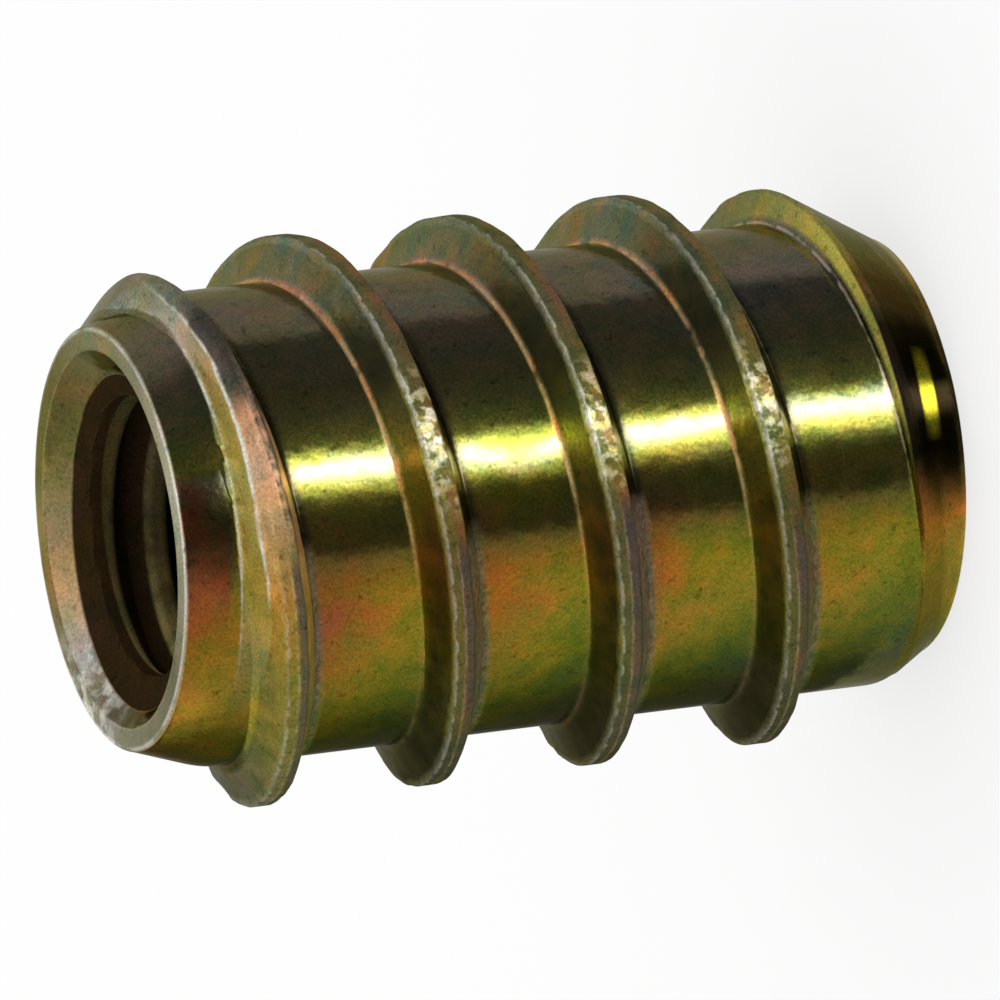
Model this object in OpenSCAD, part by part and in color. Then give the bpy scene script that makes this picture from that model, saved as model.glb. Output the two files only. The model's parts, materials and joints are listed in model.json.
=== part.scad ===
// Steel threaded insert for wood: a short barrel with a coarse wood thread outside, a machine
// screw thread inside and a hexagon socket to drive it. Millimetres, +Z along the axis, origin
// at the middle of the drive end, which the insert stands on. The lead end, which goes into
// the wood first, is up.

/* [Barrel] */
// Length from the drive end to the lead end
length = 14.8; // [13:0.1:25]
// Diameter of the barrel between the turns of the wood thread
barrel_d = 8.4; // [8.2:0.1:9]

/* [Wood thread] */
// Diameter over the crests
crest_d = 10; // [9.4:0.1:11]
// Distance along the axis from one turn to the next
turn_pitch = 3.15; // [2.4:0.05:4]
// Width of the land along the crest
crest_land = 0.35; // [0.2:0.05:0.5]
// Distance along the axis that the flank facing the lead end takes from root to crest
lead_flank = 0.35; // [0.3:0.05:0.6]
// Distance along the axis that the flank facing the drive end takes from root to crest
drive_flank = 0.45; // [0.3:0.05:0.7]
// Angle round the axis, from +X, at which the middle of the ridge runs out of the lead end
run_out_angle = 70; // [0:1:359]

/* [Lead end] */
// Width of the flat ring round the mouth
lead_land = 0.55; // [0.3:0.05:0.8]
// Length of the taper on the barrel
lead_taper = 1.3; // [0.6:0.1:2]
// Angle between the axis and the cone that cuts the ridge down
lead_cut_angle = 45; // [25:1:55]
// Length from the lead end over which the ridge is turned away, down to the taper
shoulder_depth = 0.9; // [0.5:0.05:1.1]
// Angle between the axis and the shoulder that this leaves on the ridge
shoulder_angle = 79; // [60:1:85]
// Angle round the axis, from +X, at which the turned length stops, so the ridge starts beyond it
shoulder_start_angle = 350; // [300:1:355]

/* [Drive end] */
// Wall between the corners of the socket and the edge of the end face
drive_wall = 0.25; // [0.2:0.05:0.6]
// Angle between the axis and the cone that cuts the barrel and the ridge down
drive_cut_angle = 31; // [20:1:50]
// Hexagon socket, across flats
hex_af = 6; // [5:0.5:6]
// Depth of the hexagon socket
hex_depth = 5; // [4.5:0.1:6]

/* [Screw thread] */
// Nominal diameter of the machine screw
screw_d = 6; // [5:1:6]
// Diameter of the bore that the screw thread is cut in
bore_d = 5; // [4.2:0.1:5]
// Clearance of the mouth's countersink round the screw, on the radius
mouth_clearance = 0.05; // [0.02:0.01:0.1]

/* [Hidden] */
// Segments in one turn of the ridge, and in the round faces
turn_steps = 64;
round_steps = 128;
// How far the ridge is sunk into the barrel, and how far a cutter runs past a face
ridge_sink = 0.3;
cut_past = 1;

barrel_r = barrel_d / 2;
crest_r = crest_d / 2;
bore_r = bore_d / 2;
mouth_r = screw_d / 2 + mouth_clearance;
lead_r = mouth_r + lead_land;
hex_corner_r = hex_af / 2 / cos(30);
drive_r = hex_corner_r + drive_wall;

// Turned blank: what the end faces and the cones at both ends leave of a bar
module blank() {
    outside_r = crest_r + cut_past;
    lead_cone = (outside_r - lead_r) / tan(lead_cut_angle);
    drive_cone = (outside_r - drive_r) / tan(drive_cut_angle);
    rotate_extrude($fn = round_steps)
        polygon([
            [0, 0],
            [drive_r, 0],
            [outside_r, drive_cone],
            [outside_r, length - lead_cone],
            [lead_r, length],
            [0, length]
        ]);
}

// Barrel at the root of the wood thread
module barrel() {
    drive_cone = (barrel_r - drive_r) / tan(drive_cut_angle);
    rotate_extrude($fn = round_steps)
        polygon([
            [0, 0],
            [drive_r, 0],
            [barrel_r, drive_cone],
            [barrel_r, length - lead_taper],
            [lead_r, length],
            [0, length]
        ]);
}

// Ring that turns the ridge away at the lead end, over the half turn before shoulder_start_angle.
// It reaches into the barrel's taper by the sink of the ridge, where there is nothing to cut
module shoulder_cut() {
    half_turn = 180;
    outside_r = crest_r + cut_past;
    taper_r = lead_r + (barrel_r - lead_r) * min(shoulder_depth / lead_taper, 1);
    inside_r = taper_r - ridge_sink;
    shoulder_z = length - shoulder_depth;
    rotate([0, 0, shoulder_start_angle - half_turn])
        rotate_extrude(angle = half_turn, $fn = round_steps)
            polygon([
                [inside_r, shoulder_z + ridge_sink / tan(shoulder_angle)],
                [outside_r, shoulder_z - (outside_r - taper_r) / tan(shoulder_angle)],
                [outside_r, length + cut_past],
                [inside_r, length + cut_past]
            ]);
}

// Section of the ridge as [radius, distance along the axis], with its flanks carried on into the barrel
function ridge_section() =
    let (sunk = 1 + ridge_sink / (crest_r - barrel_r), half = crest_land / 2)
    [
        [barrel_r - ridge_sink, -half - drive_flank * sunk],
        [crest_r, -half],
        [crest_r, half],
        [barrel_r - ridge_sink, half + lead_flank * sunk]
    ];

// Ridge swept along a right-hand helix that runs past both ends
module helical_ridge() {
    section = ridge_section();
    corners = len(section);
    spare_turns = 0.5;
    sections = ceil((length / turn_pitch + 2 * spare_turns) * turn_steps);
    points = [
        for (i = [0 : sections], corner = section)
            let (turn = spare_turns - i / turn_steps, angle = run_out_angle + 360 * turn)
            [corner[0] * cos(angle), corner[0] * sin(angle), length + turn_pitch * turn + corner[1]]
    ];
    sides = [
        for (i = [0 : sections - 1], k = [0 : corners - 1])
            let (a = i * corners + k, b = i * corners + (k + 1) % corners)
            each [[a, a + corners, b + corners], [a, b + corners, b]]
    ];
    first_cap = [for (k = [0 : corners - 1]) k];
    last_cap = [for (k = [corners - 1 : -1 : 0]) sections * corners + k];
    polyhedron(points, concat(sides, [first_cap, last_cap]), convexity = 10);
}

// Bore for the screw thread, with the countersink of its mouth
module bore() {
    sink_depth = mouth_r - bore_r;
    rotate_extrude($fn = round_steps)
        polygon([
            [0, -cut_past],
            [bore_r, -cut_past],
            [bore_r, length - sink_depth],
            [mouth_r + cut_past, length + cut_past],
            [0, length + cut_past]
        ]);
}

// Socket for a hexagon key, a corner on +X
module socket() {
    translate([0, 0, -cut_past])
        cylinder(r = hex_corner_r, h = hex_depth + cut_past, $fn = 6);
}

module insert() {
    color("darkkhaki")
        difference() {
            union() {
                barrel();
                difference() {
                    intersection() {
                        helical_ridge();
                        blank();
                    }
                    shoulder_cut();
                }
            }
            bore();
            socket();
        }
}

insert();
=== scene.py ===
import json
import math

import bmesh
import bpy
from mathutils import Matrix, Vector


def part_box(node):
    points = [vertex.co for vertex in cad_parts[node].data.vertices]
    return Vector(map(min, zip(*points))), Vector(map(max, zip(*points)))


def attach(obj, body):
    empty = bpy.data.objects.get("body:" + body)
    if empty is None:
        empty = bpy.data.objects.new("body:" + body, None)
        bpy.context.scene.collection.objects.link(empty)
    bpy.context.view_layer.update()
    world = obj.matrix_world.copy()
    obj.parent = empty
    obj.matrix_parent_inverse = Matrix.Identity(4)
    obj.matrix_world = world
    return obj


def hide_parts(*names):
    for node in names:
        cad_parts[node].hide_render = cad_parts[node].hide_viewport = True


mm = 0.001
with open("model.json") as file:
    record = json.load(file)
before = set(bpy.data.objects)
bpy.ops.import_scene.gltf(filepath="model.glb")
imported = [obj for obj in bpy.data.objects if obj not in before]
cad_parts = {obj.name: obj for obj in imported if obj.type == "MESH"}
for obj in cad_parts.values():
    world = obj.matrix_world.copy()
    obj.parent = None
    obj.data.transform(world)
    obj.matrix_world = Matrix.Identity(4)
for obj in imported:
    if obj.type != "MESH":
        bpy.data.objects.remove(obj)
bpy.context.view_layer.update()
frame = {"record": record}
record = frame["record"]
mounts = {mount["name"]: mount for mount in record["mounts"]}
insertLow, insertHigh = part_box("insert")
insertLength = insertHigh.z - insertLow.z
crestRadius = (insertHigh.x - insertLow.x) / 2
boreRadius = mounts["screw_thread"]["dims"]["r_mm"] * mm
print("frame loaded, length", round(insertLength / mm, 2), "mm")


# sockets that can be used in arithmetic, for shader and geometry trees alike
class Wire:
    def __init__(self, graph, socket):
        self.graph, self.socket = graph, socket

    def math(self, operation, *others):
        return self.graph.add("ShaderNodeMath", {"operation": operation}, [self, *others])

    def __add__(self, other):
        return self.math("ADD", other)

    def __radd__(self, other):
        return self.math("ADD", other)

    def __sub__(self, other):
        return self.math("SUBTRACT", other)

    def __rsub__(self, other):
        return self.graph.add("ShaderNodeMath", {"operation": "SUBTRACT"}, [other, self])

    def __mul__(self, other):
        return self.math("MULTIPLY", other)

    def __rmul__(self, other):
        return self.math("MULTIPLY", other)

    def __truediv__(self, other):
        return self.math("DIVIDE", other)

    def __rtruediv__(self, other):
        return self.graph.add("ShaderNodeMath", {"operation": "DIVIDE"}, [other, self])

    def __neg__(self):
        return self * -1

    def clamp(self, low=0.0, high=1.0):
        return self.math("MAXIMUM", low).math("MINIMUM", high)

    def softMin(self, other, reach):
        return self.math("SMOOTH_MIN", other, reach)

    def softMax(self, other, reach):
        return self.math("SMOOTH_MAX", other, reach)


class Graph:
    def __init__(self, tree):
        self.tree = tree

    # one way in for every node: its settings first, then its sockets, by name, identifier or place
    def add(self, kind, settings=None, sockets=(), output=0):
        node = self.tree.nodes.new(kind)
        for name, value in (settings or {}).items():
            if name == "stops":
                self.setStops(node.color_ramp, value)
            else:
                setattr(node, name, value)
        pairs = sockets.items() if isinstance(sockets, dict) else enumerate(sockets)
        for key, value in pairs:
            self.feed(self.find(node.inputs, key), value)
        return Wire(self, self.find(node.outputs, output)) if node.outputs else None

    def find(self, sockets, key):
        if isinstance(key, int):
            return sockets[key]
        for socket in sockets:
            if socket.identifier == key:
                return socket
        return sockets[key]

    def feed(self, socket, value):
        if value is None:
            return
        if isinstance(value, Wire):
            self.tree.links.new(value.socket, socket)
        else:
            socket.default_value = value

    def setStops(self, ramp, stops):
        while len(ramp.elements) > 1:
            ramp.elements.remove(ramp.elements[-1])
        ramp.elements[0].position, ramp.elements[0].color = stops[0][0], (*stops[0][1], 1)
        for place, colour in stops[1:]:
            ramp.elements.new(place).color = (*colour, 1)

    def join(self, x, y, z):
        return self.add("ShaderNodeCombineXYZ", None, [x, y, z])

    def mixColour(self, share, first, second, blend="MIX"):
        settings = {"data_type": "RGBA", "blend_type": blend, "clamp_factor": True}
        sockets = {"Factor_Float": share, "A_Color": first, "B_Color": second}
        return self.add("ShaderNodeMix", settings, sockets, "Result_Color")


def rgb(red, green, blue):
    return (red, green, blue, 1)


# the insert, one closed mesh of strips that share the same columns round the axis
insertSizes = {                     # millimetres and degrees
    "Barrel Radius": 4.2,
    "Turn Pitch": 3.15,
    "Crest Land": 0.35,
    "Lead Flank": 0.35,
    "Drive Flank": 0.45,
    "Run Out Angle": 70,            # where the ridge leaves the lead end
    "Lead Radius": 3.76,
    "Lead Taper": 1.3,
    "Lead Cut Radius": 3.6,         # where the cone that cuts the ridge meets the lead end
    "Lead Cut Angle": 45,
    "Shoulder Depth": 0.93,         # the first turn is turned away down to here
    "Shoulder Angle": 78,
    "Drive Radius": 3.714,
    "Drive Cut Angle": 31,
    "Hex Across Flats": 6,
    "Hex Depth": 5,
    "Screw Radius": 3,
    "Screw Pitch": 1,
    "Screw Start Angle": 205,       # where the groove of the screw thread meets the lead end
    "Mouth Radius": 3.37,
    "Sink Depth": 0.45,             # the countersink's cone ends here, its foot is steeper
    "Thread Depth": 0.86,           # the screw thread grows from here
    "Edge Round": 0.07,             # turned edges at both ends
    "Crest Round": 0.07,            # edges along the crest
    "Root Round": 0.12,             # foot of the ridge
    "Cut Round": 0.14,              # where the barrel meets the cones
    "Screw Round": 0.06,
    "Socket Chamfer": 0.08,
    "Crest Stray": 0.035,           # how far the crest edges wander
    "Crest Wear": 0.03,             # how far the crest is worn down in places
}
insertGrid = {
    "columns": 192,                 # a multiple of six, so the socket's corners are sharp
    "ridgeRows": [4, 2, 4, 2, 5, 2, 4, 21],
    "screwRows": [5, 2, 5, 4],
    "leadRows": [6, 10],            # rounded edge, flat ring
    "driveRows": [3, 8, 2, 3, 6],   # socket floor, socket wall, chamfer, face, rounded edge
}
angleSizes = ("Run Out Angle", "Lead Cut Angle", "Shoulder Angle", "Drive Cut Angle",
              "Screw Start Angle")


def ridgeBreaks():
    half, pitch = insertSizes["Crest Land"] / 2, insertSizes["Turn Pitch"]
    drive, lead = half + insertSizes["Drive Flank"], half + insertSizes["Lead Flank"]
    return [-drive - 0.10, -drive + 0.08, -half - 0.06, -half + 0.06, half - 0.08, half + 0.08,
            lead - 0.08, lead + 0.10, pitch - drive - 0.10]


def screwBreaks():
    flat = insertSizes["Screw Pitch"] / 16
    foot = flat + (insertSizes["Screw Radius"] - boreRadius / mm) * math.tan(math.radians(30))
    return [-foot - 0.04, -flat, flat, foot + 0.04, insertSizes["Screw Pitch"] - foot - 0.04]


def shoulderSwing(angle):
    # how far the shoulder's crease climbs to the lead end where the ridge starts, in millimetres
    climb = (angle * 6 + 0.1).math("EXPONENT") * 0.42 + (0.13 + angle * 0.098).clamp()
    return climb.clamp(0, 2)


def insertTree(material):
    tree = bpy.data.node_groups.new("insertForm", "GeometryNodeTree")
    tree.interface.new_socket("Geometry", in_out="OUTPUT", socket_type="NodeSocketGeometry")
    for name in ["Length", "Crest Radius", "Bore Radius", *insertSizes]:
        tree.interface.new_socket(name, in_out="INPUT", socket_type="NodeSocketFloat")
    graph = Graph(tree)
    entry = tree.nodes.new("NodeGroupInput")
    size = {socket.name: Wire(graph, socket) for socket in entry.outputs if socket.name}
    full = 2 * math.pi
    columns = insertGrid["columns"]
    index = graph.add("GeometryNodeInputIndex")
    length, crest, barrel = size["Length"], size["Crest Radius"], size["Barrel Radius"]
    bore, screw, screwRound = size["Bore Radius"], size["Screw Radius"], size["Screw Round"]
    leadSlope = size["Lead Cut Angle"].math("TANGENT")
    driveSlope = size["Drive Cut Angle"].math("TANGENT")
    strips = []

    def strip(rows, form):
        # a grid whose columns go round the axis; form gives the radius and height of a row
        grid = graph.add("GeometryNodeMeshGrid", None,
                         {"Vertices X": columns + 1, "Vertices Y": rows + 1})
        column = (index / (rows + 1) + 0.5 / (rows + 1)).math("FLOOR")
        row = index - column * (rows + 1)
        angle = column * (full / columns)
        radius, height = form(angle, row)
        place = graph.join(radius * angle.math("COSINE"), radius * angle.math("SINE"), height)
        strips.append(graph.add("GeometryNodeSetPosition", None,
                                {"Geometry": grid, "Position": place}))

    def unevenness(angle, height, perMm, seed):
        # smooth noise on the surface, from -1 to 1
        around = graph.join(angle.math("COSINE") * (5 * perMm) + seed,
                            angle.math("SINE") * (5 * perMm), height * (perMm / mm))
        noise = graph.add("ShaderNodeTexNoise", {"noise_dimensions": "3D"},
                          {"Vector": around, "Scale": 1.0, "Detail": 1.0, "Roughness": 0.5}, "Fac")
        return ((noise - 0.5) * 3).clamp(-1, 1)

    def threadHeight(angle, row, rows, breaks, pitch, start, firstTurn):
        # rows follow the helix, crowded where the section bends
        total = sum(rows)
        turn = ((row + 0.5) / total).math("FLOOR")
        share = (row - turn * total) / total
        curve, used = [(0.0, breaks[0])], 0
        for count, place in zip(rows, breaks[1:]):
            used += count
            curve.append((used / total, place))
        local = None
        for (left, low), (right, high) in zip(curve, curve[1:]):
            rise = ((share - left) / (right - left)).clamp() * ((high - low) * mm)
            local = rise + low * mm if local is None else local + rise
        return length + pitch * ((angle - start) / full + turn + firstTurn) + local

    def outerRadius(angle, height):
        # ridge over the tapered barrel, both cut by the cones at the ends
        middle = length + size["Turn Pitch"] * ((angle - size["Run Out Angle"]) / full)
        half = size["Crest Land"] / 2
        across = (height - middle).math("WRAP", size["Turn Pitch"] / 2, size["Turn Pitch"] / -2)
        stray = size["Crest Stray"] * unevenness(angle, height, 1.4, 3.1)
        counter = size["Crest Stray"] * 0.7 * unevenness(angle, height, 1.6, 47.0)
        wear = size["Crest Wear"] * unevenness(angle, height, 1.1, 81.0).clamp(0, 1)
        rise, round = crest - barrel, size["Crest Round"]
        leadSide = barrel + rise * ((half + size["Lead Flank"] - across)
                                    / (size["Lead Flank"] - stray))
        driveSide = barrel + rise * ((half + size["Drive Flank"] + across)
                                     / (size["Drive Flank"] - counter))
        fromLead = length - height
        driveCone = size["Drive Radius"] + height * driveSlope
        leadCone = size["Lead Cut Radius"] + fromLead * leadSlope
        ridge = leadSide.softMin(driveSide, round).softMin(crest - wear, round)
        ridge = ridge.softMin(leadCone, round).softMin(driveCone, round)
        # the shoulder lies at one height, and swings up to the lead end where the ridge starts
        spread = (barrel - size["Lead Radius"]) / size["Lead Taper"]
        signedAngle = angle.math("WRAP", math.pi, -math.pi)
        fromShoulder = fromLead - size["Shoulder Depth"] + shoulderSwing(signedAngle) * mm
        shoulderFoot = size["Lead Radius"] + (fromLead - fromShoulder) * spread
        shoulder = shoulderFoot + fromShoulder * size["Shoulder Angle"].math("TANGENT")
        ridge = ridge.softMin(shoulder, round)
        taper = size["Lead Radius"] + fromLead * spread
        core = barrel.softMin(taper, size["Cut Round"]).softMin(driveCone, size["Cut Round"])
        return core.softMax(ridge, size["Root Round"])

    def innerRadius(angle, height):
        # 60 degree screw thread, opened by the countersink and closed before the socket floor
        middle = length + size["Screw Pitch"] * ((angle - size["Screw Start Angle"]) / full)
        across = (height - middle).math("WRAP", size["Screw Pitch"] / 2, size["Screw Pitch"] / -2)
        depth = screw - bore
        flank = depth * math.tan(math.radians(30))
        groove = bore + depth * ((size["Screw Pitch"] / 16 + flank - across.math("ABSOLUTE")) / flank)
        groove = groove.softMin(screw, screwRound).softMax(bore, screwRound)
        groove = groove.softMin(bore + (height - size["Hex Depth"]), screwRound)
        fromLead = length - height
        groove = groove.softMin(bore + (fromLead - size["Thread Depth"]), screwRound)
        groove = groove.softMax(bore, screwRound)
        sink = size["Mouth Radius"] - fromLead
        sink = sink - (fromLead - size["Sink Depth"]).math("MAXIMUM", 0.0) * 3
        return groove.softMax(sink, screwRound)

    def ridgeStrip(rows, firstTurn, turns):
        def form(angle, row):
            height = threadHeight(angle, row, rows, ridgeBreaks(), size["Turn Pitch"],
                                  size["Run Out Angle"], firstTurn)
            height = height.math("MAXIMUM", size["Edge Round"])
            height = height.math("MINIMUM", length - size["Edge Round"])
            return outerRadius(angle, height), height
        strip(sum(rows) * turns, form)

    def screwStrip(rows, firstTurn, turns):
        def form(angle, row):
            height = threadHeight(angle, row, rows, screwBreaks(), size["Screw Pitch"],
                                  size["Screw Start Angle"], firstTurn)
            height = height.math("MAXIMUM", size["Hex Depth"]).math("MINIMUM", length)
            return innerRadius(angle, height), height
        strip(sum(rows) * turns, form)

    def leadForm(angle, row):
        edge, ring = insertGrid["leadRows"]
        bend = (row / edge).clamp() * (math.pi / 2)
        share = ((row - edge) / ring).clamp()
        shoulder = length - size["Edge Round"]
        outside = outerRadius(angle, shoulder) - size["Edge Round"] * (1 - bend.math("COSINE"))
        inside = innerRadius(angle, length)
        return outside + (inside - outside) * share, shoulder + size["Edge Round"] * bend.math("SINE")

    def driveForm(angle, row):
        counts = insertGrid["driveRows"]
        starts = [sum(counts[:k]) for k in range(5)]
        onFloor, onWall, onChamfer, onFace, onEdge = (
            ((row - start) / count).clamp() for start, count in zip(starts, counts))
        bend = onEdge * (math.pi / 2)
        sixth = full / 6
        aside = angle.math("WRAP", sixth, 0.0) - sixth / 2
        hexagon = size["Hex Across Flats"] / 2 / aside.math("COSINE")
        bottom = innerRadius(angle, size["Hex Depth"])
        chamfer = size["Socket Chamfer"]
        radius = bottom + (hexagon - bottom) * onFloor + chamfer * onChamfer
        outside = outerRadius(angle, size["Edge Round"]) - size["Edge Round"]
        radius = radius + (outside - radius) * onFace + size["Edge Round"] * bend.math("SINE")
        height = size["Hex Depth"] - (size["Hex Depth"] - chamfer) * onWall - chamfer * onChamfer
        return radius, height + size["Edge Round"] * (1 - bend.math("COSINE"))

    ridgeStrip(insertGrid["ridgeRows"], -6, 7)
    screwStrip(insertGrid["screwRows"], -11, 13)
    strip(sum(insertGrid["leadRows"]), leadForm)
    strip(sum(insertGrid["driveRows"]), driveForm)
    joined = tree.nodes.new("GeometryNodeJoinGeometry")
    for part in strips:
        tree.links.new(part.socket, joined.inputs[0])
    welded = graph.add("GeometryNodeMergeByDistance", None,
                       {"Geometry": Wire(graph, joined.outputs[0]), "Distance": 0.002 * mm})
    smooth = graph.add("GeometryNodeSetShadeSmooth", None, {"Geometry": welded})
    whole = graph.add("GeometryNodeRealizeInstances", None, {"Geometry": smooth})
    dressed = graph.add("GeometryNodeSetMaterial", None, {"Geometry": whole, "Material": material})
    leave = tree.nodes.new("NodeGroupOutput")
    tree.links.new(dressed.socket, leave.inputs[0])
    return tree


def growMesh(name, tree, values):
    holder = bpy.data.objects.new(name + "Holder", bpy.data.meshes.new(name + "Holder"))
    bpy.context.scene.collection.objects.link(holder)
    modifier = holder.modifiers.new("form", "NODES")
    modifier.node_group = tree
    for item in tree.interface.items_tree:
        if item.item_type == "SOCKET" and item.in_out == "INPUT":
            modifier[item.identifier] = float(values[item.name])
    shown = holder.evaluated_get(bpy.context.evaluated_depsgraph_get())
    mesh = bpy.data.meshes.new_from_object(shown)
    bpy.data.objects.remove(holder)
    mesh.name = name
    piece = bpy.data.objects.new(name, mesh)
    bpy.context.scene.collection.objects.link(piece)
    return piece


def tidyMesh(piece, sharpAngle):
    work = bmesh.new()
    work.from_mesh(piece.data)
    bmesh.ops.remove_doubles(work, verts=work.verts, dist=0.001 * mm)
    bmesh.ops.dissolve_degenerate(work, edges=work.edges, dist=0.0005 * mm)
    bmesh.ops.recalc_face_normals(work, faces=work.faces)
    openEdges = sum(1 for edge in work.edges if len(edge.link_faces) != 2)
    triangles = sum(len(face.verts) - 2 for face in work.faces)
    volume = work.calc_volume(signed=True)
    work.to_mesh(piece.data)
    work.free()
    piece.data.set_sharp_from_angle(angle=math.radians(sharpAngle))
    print(piece.name, "triangles", triangles, "open edges", openEdges, "volume mm3",
          round(volume / mm ** 3, 1))


def makeInsert(material):
    values = {name: value * (math.pi / 180 if name in angleSizes else mm)
              for name, value in insertSizes.items()}
    values.update({"Length": insertLength, "Crest Radius": crestRadius, "Bore Radius": boreRadius})
    piece = growMesh("insertBody", insertTree(material), values)
    tidyMesh(piece, 50)
    return piece


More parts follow.
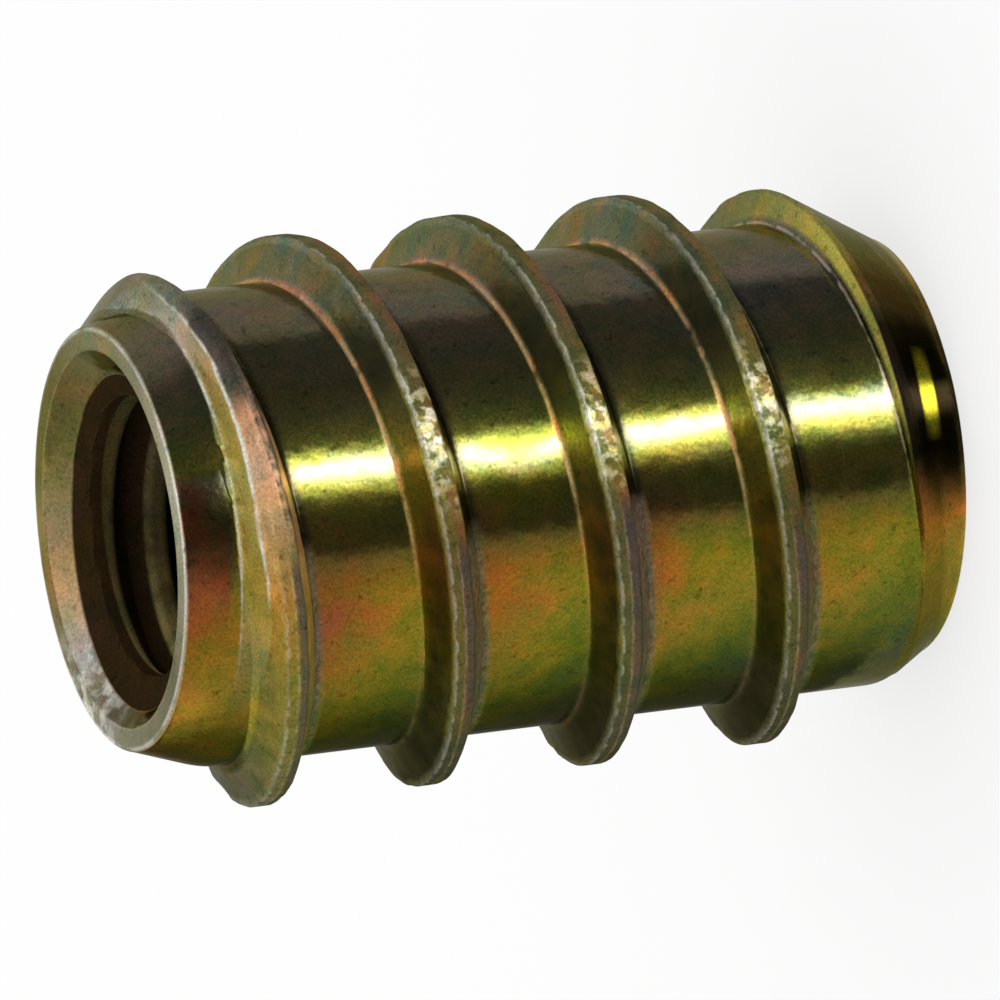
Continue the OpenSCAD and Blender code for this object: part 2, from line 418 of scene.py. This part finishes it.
# yellow plated steel: a thin film whose colour changes round the barrel and in patches, with painted
# highlights and painted shade where the light falls round the axis
platedSteel = {
    # colours by share of a turn from +X towards the viewer
    # film colour; the lighter, whiter stops from 0.21 to 0.236 are a painted highlight where the
    # bright band falls
    "film": [
        (0.00, (0.42, 0.39, 0.31)), (0.06, (0.42, 0.37, 0.30)), (0.10, (0.40, 0.33, 0.27)),
        (0.14, (0.38, 0.34, 0.24)), (0.18, (0.42, 0.40, 0.16)), (0.21, (0.58, 0.62, 0.10)),
        (0.222, (0.76, 0.78, 0.46)), (0.236, (0.62, 0.60, 0.08)), (0.27, (0.46, 0.40, 0.14)),
        (0.32, (0.50, 0.40, 0.07)), (0.45, (0.36, 0.36, 0.10)), (0.56, (0.46, 0.34, 0.14)),
        (0.64, (0.48, 0.42, 0.10)), (0.72, (0.36, 0.38, 0.12)), (0.80, (0.50, 0.34, 0.14)),
        (0.90, (0.44, 0.40, 0.16)), (1.00, (0.42, 0.39, 0.31))],
    "flank": [                      # side of the ridge that faces the lead end; lighter at the top, light where the highlight falls and dark above and below it, painted light and shade
        (0.00, (0.36, 0.36, 0.21)), (0.05, (0.34, 0.34, 0.20)), (0.08, (0.18, 0.18, 0.10)),
        (0.17, (0.15, 0.13, 0.08)), (0.20, (0.48, 0.46, 0.14)), (0.235, (0.42, 0.36, 0.06)),
        (0.27, (0.15, 0.09, 0.03)), (0.45, (0.10, 0.08, 0.03)), (0.60, (0.28, 0.24, 0.12)),
        (1.00, (0.36, 0.36, 0.21))],
    "mouth": [                      # flat ring at the lead end; near white round 0.22, a painted highlight
        (0.00, (0.44, 0.41, 0.24)), (0.11, (0.42, 0.43, 0.33)), (0.17, (0.72, 0.66, 0.52)),
        (0.22, (0.92, 0.90, 0.72)), (0.28, (0.36, 0.35, 0.27)), (0.38, (0.16, 0.15, 0.10)),
        (0.55, (0.34, 0.33, 0.28)), (0.66, (0.20, 0.18, 0.10)), (0.73, (0.27, 0.18, 0.06)),
        (0.80, (0.36, 0.32, 0.10)), (0.90, (0.26, 0.24, 0.09)), (1.00, (0.44, 0.41, 0.24))],
    "sink": [                       # countersink behind it
        (0.00, (0.14, 0.13, 0.07)), (0.25, (0.30, 0.27, 0.15)), (0.50, (0.09, 0.08, 0.05)),
        (0.57, (0.22, 0.19, 0.11)), (0.65, (0.46, 0.44, 0.35)), (0.69, (0.60, 0.42, 0.20)),
        (0.74, (0.42, 0.27, 0.14)), (0.81, (0.24, 0.20, 0.06)), (0.90, (0.15, 0.12, 0.04)),
        (1.00, (0.14, 0.13, 0.07))],
    "driveEnd": [                   # cone at the drive end
        (0.00, (0.42, 0.38, 0.18)), (0.06, (0.30, 0.29, 0.12)), (0.10, (0.22, 0.18, 0.04)),
        (0.14, (0.34, 0.18, 0.04)), (0.18, (0.24, 0.16, 0.06)), (0.26, (0.24, 0.17, 0.06)),
        (0.295, (0.66, 0.24, 0.04)), (0.33, (0.48, 0.34, 0.04)), (0.42, (0.24, 0.23, 0.03)),
        (0.60, (0.32, 0.29, 0.09)), (1.00, (0.42, 0.38, 0.18))],
    # thickness of the film by share of a turn, and the colours that follow as it grows
    "thickness": [
        (0.00, 0.50), (0.24, 0.50), (0.285, 0.74), (0.33, 0.68), (0.37, 0.50), (0.41, 0.30),
        (0.45, 0.14), (0.55, 0.40), (0.65, 0.60), (0.80, 0.45), (1.00, 0.50)],
    "bands": [
        (0.00, (0.16, 0.19, 0.11)), (0.14, (0.18, 0.26, 0.06)), (0.32, (0.29, 0.34, 0.03)),
        (0.50, (0.46, 0.40, 0.03)), (0.66, (0.60, 0.36, 0.03)), (0.80, (0.64, 0.24, 0.03)),
        (0.92, (0.52, 0.15, 0.04)), (1.00, (0.38, 0.15, 0.09))],
    "firstLand": [                  # land of the first turn; dark from 0.11 to 0.165, painted shade, and bright salmon from 0.185 to 0.23, a painted highlight
        (0.00, (0.40, 0.40, 0.28)), (0.085, (0.30, 0.29, 0.19)), (0.11, (0.10, 0.09, 0.07)),
        (0.165, (0.14, 0.11, 0.08)), (0.185, (0.90, 0.50, 0.31)), (0.230, (1.00, 0.58, 0.32)),
        (0.26, (0.66, 0.40, 0.16)), (0.29, (0.54, 0.29, 0.06)), (0.34, (0.34, 0.27, 0.04)),
        (0.42, (0.24, 0.22, 0.06)), (0.50, (0.26, 0.24, 0.16)), (1.00, (0.40, 0.40, 0.28))],
    "shoulder": [                   # steep face behind it
        (0.00, (0.60, 0.57, 0.38)), (0.09, (0.72, 0.66, 0.42)), (0.15, (0.62, 0.42, 0.13)),
        (0.20, (0.38, 0.31, 0.08)), (0.28, (0.36, 0.27, 0.05)), (0.33, (0.48, 0.39, 0.12)),
        (0.60, (0.50, 0.44, 0.20)), (1.00, (0.60, 0.57, 0.38))],
    "driveSide": [                  # side of the ridge that faces the drive end, and its foot; painted dark, painted shade
        (0.00, (0.11, 0.10, 0.07)), (0.27, (0.11, 0.10, 0.07)), (0.30, (0.13, 0.14, 0.08)),
        (0.45, (0.13, 0.14, 0.08)), (0.60, (0.11, 0.10, 0.07)), (1.00, (0.11, 0.10, 0.07))],
    "edgeWearAndHighlight": [                   # how bright the crest's worn edges are, by share of a turn; brightest round the highlight, a painted highlight
        (0.00, 0.20), (0.07, 0.30), (0.15, 0.65), (0.24, 0.75), (0.27, 0.35), (0.50, 0.25),
        (1.00, 0.20)],
    "bandShare": [
        (0.00, 0.15), (0.24, 0.15), (0.28, 0.50), (0.30, 0.95), (0.46, 0.85), (0.55, 0.50),
        (0.90, 0.50), (1.00, 0.15)],
    "silver": (0.82, 0.80, 0.70),
    "salmon": (0.86, 0.50, 0.23),
    "ember": (0.80, 0.27, 0.08),
    # painted shade, for the crest's lower drive half and a strip of the first land
    "paintedShade": (0.11, 0.10, 0.07),
    "crest": (0.10, 0.085, 0.045),
    "glint": (0.95, 0.80, 0.26),
    "coneShade": (0.022, 0.015, 0.008),
    # yellow painted highlight on the drive cone, over the pad's reflection
    "coneBlob": (0.85, 0.74, 0.04),
    "taperShade": (0.20, 0.17, 0.09),
    "taperSpot": (0.70, 0.17, 0.07),
    "lastFlank": (0.66, 0.58, 0.10),
    "topTint": (0.85, 0.85, 0.5),
    # inside the hole: light lines by the thread's crests and a nearly black land and groove, painted
    # highlight and painted shade
    "threadLine": (0.26, 0.22, 0.08),
    "threadLand": (0.030, 0.018, 0.007),
    "threadGroove": (0.026, 0.016, 0.006),
    "roughness": (0.11, 0.20),
    "edgeTint": (0.75, 0.72, 0.50),
    "wornRoughness": 0.45,
    "wornMetallic": 0.5,
    "dentDepth": 0.012,             # millimetres
    "marksAndPaintedLight": {                     # where the marks, painted highlights and painted shade lie
        # middle and reach round the axis, as shares of a turn from +X towards the viewer
        "upper": (0.0, 0.16),
        "lipDip": (0.07, 0.13),
        "shoulder": (0.15, 0.25),
        "dullShoulder": (0.24, 0.12),
        "landEdge": (0.21, 0.07),
        "taperSpot": (0.285, 0.05),
        "mouthSpot": (0.236, 0.03),
        "taperShade": (0.25, 0.045),
        "glints": (0.215, 0.045),
        "lip": (0.19, 0.19),
        "lastTurn": (0.12, 0.17),
        "coneShade": (0.215, 0.085),
        "coneEdge": (0.165, 0.06),
        "coneBlob": (0.217, 0.034),
        "hammered": (0.605, 0.08),
        # the same, but start and reach
        "back": (0.75, 0.2),
        "lower": (0.265, 0.02),
        "taperFilm": (0.37, 0.05),
        "rootLine": (0.24, 0.06),
        # millimetres from the axis
        "shoulderRadius": 4.02,
        "creaseRadius": 4.07,
        "lipRadius": 4.66,
        "lipDipDepth": 0.24,
        "holeRadius": 2.97,
        "holeAside": 0.1,               # the painted shade of the hole starts a little off the axis
        # millimetres below the lead end
        "sinkFoot": 0.6,
        "shoulderFoot": 1.3,
        "firstTurn": 2.55,
        "threadLine": 0.82,
        # millimetres above the drive end
        "lastTurnTop": 2.3,
        "silverTop": 3.2,
        "blobHeight": (0.68, 0.20),
    },
}


def makePlatedSteel():
    material = bpy.data.materials.new("platedSteel")
    material.use_nodes = True
    graph = Graph(material.node_tree)
    material.node_tree.nodes.clear()
    marksAndPaintedLight = platedSteel["marksAndPaintedLight"]
    place = graph.add("ShaderNodeTexCoord", None, (), "Object")
    x, y, z = (graph.add("ShaderNodeSeparateXYZ", None, [place], k) for k in range(3))
    angle = y.math("ARCTAN2", x)
    radius = (x * x + y * y).math("SQRT") / mm
    height = z / mm
    length = insertLength / mm

    def noise(perMm, detail, low=0.0, high=1.0):
        # noise between 0 and 1, stretched so that low and high become its ends
        fac = graph.add("ShaderNodeTexNoise", None,
                        {"Vector": place, "Scale": perMm / mm, "Detail": detail}, "Fac")
        return ((fac - low) / (high - low)).clamp()

    def near(value, middle, reach):
        return (1 - ((value - middle) / reach).math("ABSOLUTE")).clamp()

    def past(value, limit, reach):
        return ((value - limit) / reach).clamp()

    def ramp(name, value):
        stops = [(share, tone if isinstance(tone, tuple) else (tone,) * 3)
                 for share, tone in platedSteel[name]]
        return graph.add("ShaderNodeValToRGB", {"stops": stops}, [value])

    def paint(colour, name, share):
        return graph.mixColour(share, colour, rgb(*platedSteel[name]))

    # places on the ridge and in the groove
    pitch, half = insertSizes["Turn Pitch"], insertSizes["Crest Land"] / 2
    start = math.radians(insertSizes["Run Out Angle"])
    above = height - length - (angle - start) * (pitch / (2 * math.pi))
    across = above.math("WRAP", pitch / 2, pitch / -2)
    foot = half + insertSizes["Lead Flank"]
    onCrest = past(radius, crestRadius / mm - 0.16, 0.08)
    onRidge = past(radius, insertSizes["Barrel Radius"] + 0.08, 0.10)
    leadSide = past(across, half, 0.05)
    barrelEnd = length - insertSizes["Lead Taper"]
    inside = 1 - past(radius, insertSizes["Mouth Radius"] + 0.02, 0.02)
    onMouth = past(height, length - 0.03, 0.02)
    aside = x / mm + marksAndPaintedLight["holeAside"]
    fromHole = (aside * aside + (y / mm) * (y / mm)).math("SQRT")
    onSink = inside * (1 - onMouth) * past(height, length - marksAndPaintedLight["sinkFoot"], 0.02)
    onSink = onSink * past(fromHole, marksAndPaintedLight["holeRadius"], 0.04)
    inHole = inside * (1 - onMouth) * (1 - onSink)
    inGroove = (above + pitch / 2).math("WRAP", pitch / 2, pitch / -2)

    # barrel
    patches, mottle, grain = noise(0.6, 3.0), noise(1.9, 3.0), noise(16.0, 2.0)
    onTaper = past(height, barrelEnd - 0.2, 0.2)
    share = angle / (-2 * math.pi)
    turn = (share + (patches - 0.5) * 0.05).math("FRACT")
    front = 1 - past(turn, *marksAndPaintedLight["back"])
    thickness = ramp("thickness", turn) + (patches - 0.5) * 0.5 + (mottle - 0.5) * 0.30
    thickness = thickness + (grain - 0.5) * 0.12 + (height / length - 0.55) * 0.30 + inGroove * 0.14
    thickness = thickness + onTaper * past(turn, *marksAndPaintedLight["taperFilm"]) * front * 0.3
    bands = ramp("bands", thickness.clamp(0.0, 0.94))
    colour = graph.mixColour(ramp("bandShare", turn), ramp("film", turn), bands)

    # ridge
    blotch = noise(0.9, 1.0, 0.3, 0.7)
    upper = near(share, *marksAndPaintedLight["upper"])       # the top side, where the flank colour is painted lightest
    stain = ramp("bands", (blotch * 0.7 + (mottle - 0.5) * 0.4 + 0.1).clamp(0.0, 0.94))
    flank = graph.mixColour((mottle - 0.3) * 0.8 * (1 - upper), ramp("flank", turn), bands)
    flank = graph.mixColour(near(blotch, 0.9, 0.8) * upper * 0.45, flank, stain)
    colour = graph.mixColour(onRidge * leadSide * 0.9, colour, flank)
    # painted shade on the ridge's drive side and its foot, dark and speckled
    driveFootShade = near(across, -(half + insertSizes["Drive Flank"] / 2), 0.42) * 3
    speckle = 0.4 + noise(9.0, 2.0, 0.3, 0.7) * 1.2
    backSide = graph.mixColour(1.0, ramp("driveSide", turn), graph.join(speckle, speckle, speckle),
                               "MULTIPLY")
    colour = graph.mixColour(driveFootShade.clamp() * (1 - onCrest) * 0.85, colour, backSide)
    lower = past(turn, *marksAndPaintedLight["lower"]) * front
    # crest colour, with less film colour on the lower front so it is darker there, painted shade
    crest = graph.mixColour(mottle * (0.4 - lower * 0.25), rgb(*platedSteel["crest"]), bands)
    colour = graph.mixColour(onCrest * (1 - leadSide) * 0.85, colour, crest)
    crease = length - insertSizes["Shoulder Depth"] + shoulderSwing(angle)
    lipRadius = marksAndPaintedLight["lipRadius"] - near(share, *marksAndPaintedLight["lipDip"]) * marksAndPaintedLight["lipDipDepth"]
    onShoulder = past(height, length - marksAndPaintedLight["shoulderFoot"], 0.02) * (1 - past(height, crease, 0.02))
    onShoulder = onShoulder * past(radius, marksAndPaintedLight["shoulderRadius"], 0.03)
    onShoulder = onShoulder * (1 - past(radius, lipRadius, 0.02))
    onShoulder = onShoulder * (near(share, *marksAndPaintedLight["shoulder"]) * 3).clamp()
    firstLand = past(height, length - marksAndPaintedLight["firstTurn"], 0.25) * onRidge * (1 - onShoulder)
    beads = noise(3.6, 2.0, 0.36, 0.60)
    land = graph.mixColour(1.0, ramp("firstLand", turn),
                           graph.join(*[0.85 + beads * 0.2] * 3), "MULTIPLY")
    colour = graph.mixColour(firstLand * 0.9, colour, land)
    # a dark strip painted on the first land's drive side where the highlight falls, painted shade
    landEdge = past(-across, 0.08, 0.03) * (1 - past(-across, 0.30, 0.05))
    landEdge = landEdge * near(turn, *marksAndPaintedLight["landEdge"])
    colour = paint(colour, "paintedShade", (landEdge * 2).clamp() * firstLand * (1 - beads * 0.6))
    topTint = onTaper * (1 - onRidge) * upper
    colour = graph.mixColour(topTint, colour, rgb(*platedSteel["topTint"]), "MULTIPLY")
    shoulder = ramp("shoulder", turn)
    colour = graph.mixColour(onShoulder * (noise(1.1, 3.0, 0.2, 0.5) * 0.25 + 0.7), colour, shoulder)
    mouthSpot = near(turn, *marksAndPaintedLight["mouthSpot"]) * past(height, length - 0.5, 0.2)
    spot = near(turn, *marksAndPaintedLight["taperSpot"]) + mouthSpot
    besideTurn = (1 - onRidge) * (1 - past(radius, 4.0, 0.06))
    spot = spot * past(height, barrelEnd + 0.5, 0.1) * besideTurn
    taperShade = near(turn, *marksAndPaintedLight["taperShade"]) * past(height, barrelEnd + 0.1, 0.1) * besideTurn
    colour = paint(colour, "taperShade", (taperShade * 2).clamp() * 0.8)
    colour = paint(colour, "taperSpot", spot * (noise(1.6, 2.0, 0.35, 0.6) * 0.7 + 0.3))
    # light line along the ridge's lead foot, a painted reflection, faded on the lower front; silver
    # near the drive end
    rootLine = near(across, foot, 0.055) * (1 - onTaper) * noise(2.2, 2.0, 0.25, 0.5)
    rootLine = rootLine * (1 - past(turn, *marksAndPaintedLight["rootLine"]) * front * 0.8)
    nearDrive = 1 - past(height, marksAndPaintedLight["silverTop"], 0.3)
    rootLine = (rootLine - nearDrive * 0.45).clamp()
    colour = paint(colour, "salmon", rootLine)
    colour = paint(colour, "ember", rootLine * noise(1.4, 1.0, 0.45, 0.65) * 0.8)
    colour = paint(colour, "silver", rootLine * nearDrive)
    ragged = across + (beads - 0.5) * 0.03
    # painted shade on the crest's drive half, on the lower front
    colour = paint(colour, "paintedShade", past(-across, 0.03, 0.04) * onCrest * lower * 0.8)
    # light crest edges: wear, brightest where the highlight falls, a painted highlight; the glints are
    # painted highlights on the crest
    edges = (near(ragged, half, 0.04) + near(ragged, 0.0, 0.035) * lower * 0.5) * onCrest
    edges = edges * (1 - past(height, length - 1.5, 0.2)) * ramp("edgeWearAndHighlight", turn)
    glints = noise(4.5, 2.0, 0.44, 0.56) * onCrest * near(turn, *marksAndPaintedLight["glints"]) * (1 - firstLand)
    rim = near(radius, insertSizes["Lead Radius"] - 0.03, 0.07) * past(height, length - 0.06, 0.02)
    # light lines painted along the lip and the crease on the upper, lit side, painted highlight
    lip = near(radius, lipRadius, 0.06) * past(height, length - 1.25, 0.05)
    lip = lip + near(height, crease, 0.035) * near(radius, marksAndPaintedLight["creaseRadius"], 0.12)
    lip = lip.clamp() * near(turn, *marksAndPaintedLight["lip"]) * 1.4
    # wear and painted highlight together: worn edges, rim and hammer marks, with the painted lip,
    # crease and glints
    wearAndHighlight = (edges + lip) * (beads * 0.8 + 0.3) + glints * beads
    wearAndHighlight = wearAndHighlight + rim * noise(1.2, 2.0, 0.25, 0.5) * 0.75
    colour = paint(colour, "glint", glints)

    # last turn and the cone at the drive end
    lastTurn = (1 - past(height, marksAndPaintedLight["lastTurnTop"], 0.2)) * near(share, *marksAndPaintedLight["lastTurn"])
    colour = paint(colour, "lastFlank", lastTurn * onRidge * leadSide)
    coneGap = radius - insertSizes["Drive Radius"] - height * math.tan(
        math.radians(insertSizes["Drive Cut Angle"]))
    onCone = (near(coneGap, 0.0, 0.12) * 2).clamp() * (1 - inside)
    colour = graph.mixColour(onCone * 0.9, colour, ramp("driveEnd", turn))
    # painted shade on the drive cone, over its front and above it
    dark = (onCone * near(turn, *marksAndPaintedLight["coneShade"]) * 2).clamp()
    coneEdge = onCone * (near(turn, *marksAndPaintedLight["coneEdge"]) * 1.5).clamp(0, 0.7)
    colour = paint(colour, "coneShade", dark.math("MAXIMUM", coneEdge))
    # a yellow painted highlight on the cone, where the pad's reflection falls
    coneHighlightSpot = near(share, *marksAndPaintedLight["coneBlob"]) * near(height, *marksAndPaintedLight["blobHeight"]) * onCone
    colour = paint(colour, "coneBlob", (coneHighlightSpot * 4).clamp())

    # lead end, hole
    colour = graph.mixColour(onMouth, colour, ramp("mouth", turn))
    colour = graph.mixColour(onSink, colour, ramp("sink", turn))
    hammered = near(share.math("FRACT"), *marksAndPaintedLight["hammered"]) * noise(3.2, 3.0, 0.42, 0.62)
    hammered = hammered * (onMouth + onSink)
    # the hole painted nearly black, painted shade, with light lines beside the screw thread's crests,
    # stronger on the -X side, painted highlight
    colour = paint(colour, "threadGroove", inHole)
    colour = paint(colour, "threadLand", inHole * (1 - past(radius, boreRadius / mm + 0.02, 0.03)))
    line = inHole * (near(radius, boreRadius / mm + 0.06, 0.10) * 1.6).clamp()
    line = line * (past(-x / mm, 0.2, 2.0) * 0.7 + 0.3)
    line = line * (1 - past(height, length - marksAndPaintedLight["threadLine"], 0.04))
    colour = paint(colour, "threadLine", line * (noise(2.2, 2.0, 0.25, 0.5) * 0.6 + 0.4))
    tint = graph.join(1 + (mottle - 0.5) * 0.9 + (blotch - 0.5) * upper * 0.5, 1.0,
                      1 + (patches - 0.5) * 1.5)
    colour = graph.mixColour(1.0, colour, tint, "MULTIPLY")
    wearAndHighlight = (wearAndHighlight + hammered).clamp()
    # wear and painted highlight, painted silver
    colour = paint(colour, "silver", wearAndHighlight)

    # grain
    pits = 1 - noise(6.0, 1.0, 0.24, 0.36)
    shade = noise(20.0, 1.0) + 0.5 - pits * 0.35 + (mottle - 0.5) * 0.4
    colour = graph.mixColour(1.0, colour, graph.join(shade, shade, shade), "MULTIPLY")
    smoothest, roughest = platedSteel["roughness"]
    roughness = noise(2.5, 3.0, 0.3, 0.7) * (roughest - smoothest) + smoothest
    dullShoulder = onShoulder * (near(share, *marksAndPaintedLight["dullShoulder"]) * 3).clamp()
    dull = wearAndHighlight + rootLine + onRidge * leadSide * (0.2 + lastTurn * 0.6) + onCrest * 0.8
    dull = dull + firstLand * 0.5 + dullShoulder * 0.6
    dull = (dull + driveFootShade.clamp() * lower * (1 - onCrest)).clamp()
    metallic = 1 - dull * (1 - platedSteel["wornMetallic"]) - lastTurn * onRidge * leadSide * 0.35
    metallic = metallic * (1 - inHole)
    dull = (dull + inHole * 0.5 + onCone * 0.4).clamp()
    roughness = roughness + (platedSteel["wornRoughness"] - roughness) * dull
    dents = noise(2.4, 2.0) + beads * onCrest + hammered
    bump = graph.add("ShaderNodeBump", None,
                     {"Strength": 1.0, "Distance": platedSteel["dentDepth"] * mm, "Height": dents})
    surface = graph.add("ShaderNodeBsdfPrincipled", None,
                        {"Base Color": colour, "Metallic": metallic, "Roughness": roughness,
                         "Normal": bump, "Specular Tint": rgb(*platedSteel["edgeTint"]),
                         "Specular IOR Level": 0.0})
    graph.add("ShaderNodeOutputMaterial", None, {"Surface": surface})
    return material


# floor, light and camera
studio = {
    "viewElevation": 20.6,          # degrees above the floor
    "axisTilt": 6.9,                # the insert's axis climbs this much to the picture's right
    "viewDistance": 420,            # millimetres
    "pixelsPerMm": 56.42,           # scale at the axis
    "pictureSize": 1000,            # pixels
    "middlePixel": (499.9, 492.3),  # where the middle of the axis falls
    "sensorWidth": 36,
    "floorReach": 600,              # millimetres
    "floorTone": 0.97,
    "floorGlow": 0.70,              # share of plain white in the floor, which softens the shadow
    "screenRadius": 7,              # curved screen round the insert that only reflections see
    "screenHeight": 30,
    "screenSegments": 96,
    "padHeight": 0.02,              # millimetres above the floor
    "padGap": 0.1,                  # millimetres between the insert's foot and the pad
    "screen": [                     # share of a turn from +X towards the viewer, brightness
        (0.000, 0.24), (0.045, 0.20), (0.060, 0.06), (0.130, 0.05), (0.170, 0.08), (0.190, 0.12),
        (0.198, 1.4), (0.205, 3.3), (0.216, 3.3), (0.225, 1.1), (0.237, 0.14), (0.247, 0.045),
        (0.286, 0.045), (0.298, 0.22), (0.335, 0.40), (0.385, 0.40), (0.450, 0.28), (0.510, 0.11),
        (0.600, 0.07), (0.645, 0.25), (0.690, 0.80), (0.730, 0.80), (0.760, 0.40), (0.850, 0.44),
        (0.930, 0.29), (1.000, 0.20)],
    "screenTop": [                  # the same, above the insert
        (0.000, 0.24), (0.060, 0.20), (0.085, 0.07), (0.265, 0.05), (0.290, 0.13), (0.320, 0.30),
        (0.420, 0.34), (0.470, 0.60), (0.600, 0.45), (0.690, 0.80), (0.730, 0.80), (0.760, 0.40),
        (0.850, 0.50), (1.000, 0.30)],
    "screenHigh": [                 # the same, well above it
        (0.000, 0.45), (0.250, 0.50), (0.450, 0.45), (0.600, 0.55), (0.690, 0.80), (0.730, 0.80),
        (0.760, 0.45), (0.850, 0.55), (1.000, 0.45)],
    "screenTopFrom": (14.0, 15.0),  # millimetres above the floor
    "screenHighFrom": (17.0, 18.0),
    "pad": [                        # floor of the screen, just round the insert
        (0.000, 0.42), (0.060, 0.38), (0.130, 0.28), (0.180, 0.06), (0.204, 0.08), (0.211, 2.4),
        (0.220, 2.4), (0.232, 0.08), (0.275, 0.06), (0.305, 0.34), (0.450, 0.30), (1.000, 0.42)],
}


def makeCamera():
    elevation, tilt = math.radians(studio["viewElevation"]), math.radians(studio["axisTilt"])
    right = Vector((-math.sin(tilt), -math.sin(elevation) * math.cos(tilt),
                    -math.cos(elevation) * math.cos(tilt)))
    up = Vector((math.cos(tilt), -math.sin(elevation) * math.sin(tilt),
                 -math.cos(elevation) * math.sin(tilt)))
    back = Vector((0, -math.cos(elevation), math.sin(elevation)))
    distance = studio["viewDistance"] * mm
    data = bpy.data.cameras.new("camera")
    data.sensor_width = studio["sensorWidth"]
    data.lens = studio["pixelsPerMm"] / mm * distance * studio["sensorWidth"] / studio["pictureSize"]
    data.clip_start, data.clip_end = 0.01, 10
    camera = bpy.data.objects.new("camera", data)
    bpy.context.scene.collection.objects.link(camera)
    half = studio["pictureSize"] / 2
    pixel = mm / studio["pixelsPerMm"]
    middle = Vector((0, 0, insertLength / 2))
    aim = middle - right * ((studio["middlePixel"][0] - half) * pixel)
    aim = aim + up * ((studio["middlePixel"][1] - half) * pixel)
    turn = Matrix((right, up, back)).transposed().to_4x4()
    camera.matrix_world = Matrix.Translation(aim + back * distance) @ turn
    bpy.context.scene.camera = camera


def makeFloor():
    reach = studio["floorReach"] * mm
    mesh = bpy.data.meshes.new("floor")
    mesh.from_pydata([(-reach, -reach, 0), (reach, -reach, 0), (reach, reach, 0), (-reach, reach, 0)],
                     [], [(0, 1, 2, 3)])
    floor = bpy.data.objects.new("floor", mesh)
    bpy.context.scene.collection.objects.link(floor)
    material = bpy.data.materials.new("floorPaint")
    material.use_nodes = True
    graph = Graph(material.node_tree)
    material.node_tree.nodes.clear()
    paint = graph.add("ShaderNodeBsdfDiffuse", None, {"Color": rgb(*[studio["floorTone"]] * 3)})
    white = graph.add("ShaderNodeEmission", None, {"Color": rgb(1, 1, 1), "Strength": 1.0})
    seen = graph.add("ShaderNodeLightPath", None, (), "Is Camera Ray")
    for ray in ("Is Glossy Ray", "Is Transmission Ray"):
        seen = seen.math("MAXIMUM", graph.add("ShaderNodeLightPath", None, (), ray))
    mixed = graph.add("ShaderNodeMixShader", None, [seen * studio["floorGlow"], paint, white])
    graph.add("ShaderNodeOutputMaterial", None, {"Surface": mixed})
    mesh.materials.append(material)


def stageGlow(work, name, layers):
    # a staged surface that shows in glossy reflections and nowhere else; each layer is a ramp
    # round the axis, which takes over between two heights
    mesh = bpy.data.meshes.new(name)
    work.to_mesh(mesh)
    work.free()
    piece = bpy.data.objects.new(name, mesh)
    bpy.context.scene.collection.objects.link(piece)
    for ray in ("camera", "diffuse", "transmission", "volume_scatter", "shadow"):
        setattr(piece, "visible_" + ray, False)
    material = bpy.data.materials.new(name + "Light")
    material.use_nodes = True
    graph = Graph(material.node_tree)
    material.node_tree.nodes.clear()
    place = graph.add("ShaderNodeTexCoord", None, (), "Object")
    x, y, z = (graph.add("ShaderNodeSeparateXYZ", None, [place], k) for k in range(3))
    turn = (y.math("ARCTAN2", x) / (-2 * math.pi)).math("FRACT")
    brightest = max(bright for layer in layers for share, bright in studio[layer])
    level = None
    for layer in layers:
        stops = [(share, (bright / brightest,) * 3) for share, bright in studio[layer]]
        tone = graph.add("ShaderNodeValToRGB", {"stops": stops}, [turn])
        if level is None:
            level = tone
        else:
            low, high = studio[layer + "From"]
            level = graph.mixColour(((z / mm - low) / (high - low)).clamp(), level, tone)
    glow = graph.add("ShaderNodeEmission", None, {"Color": level, "Strength": brightest})
    graph.add("ShaderNodeOutputMaterial", None, {"Surface": glow})
    mesh.materials.append(material)


def makeScreen():
    work = bmesh.new()
    reach, tall = studio["screenRadius"] * mm, studio["screenHeight"] * mm
    bmesh.ops.create_cone(work, cap_ends=False, segments=studio["screenSegments"], radius1=reach,
                          radius2=reach, depth=tall, matrix=Matrix.Translation((0, 0, tall / 2)))
    stageGlow(work, "screen", ("screen", "screenTop", "screenHigh"))
    work = bmesh.new()
    rings = []
    for size in (insertSizes["Drive Radius"] + studio["padGap"], studio["screenRadius"]):
        bmesh.ops.create_circle(work, segments=studio["screenSegments"], radius=size * mm,
                                matrix=Matrix.Translation((0, 0, studio["padHeight"] * mm)))
        rings.append([edge for edge in work.edges if edge not in rings[0]] if rings
                     else list(work.edges))
    bmesh.ops.bridge_loops(work, edges=rings[0] + rings[1])
    stageGlow(work, "screenPad", ("pad",))


def makeLight():
    world = bpy.data.worlds.new("world")
    bpy.context.scene.world = world
    world.use_nodes = True
    world.node_tree.nodes["Background"].inputs["Color"].default_value = rgb(1, 1, 1)
    world.node_tree.nodes["Background"].inputs["Strength"].default_value = 1.0


makeCamera()
makeFloor()
makeScreen()
makeLight()
print("camera, floor and light made")
steel = makePlatedSteel()
insertBody = makeInsert(steel)
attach(insertBody, "root")
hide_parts("insert")
bpy.context.scene.view_settings.view_transform = "Standard"

print("scene ready")
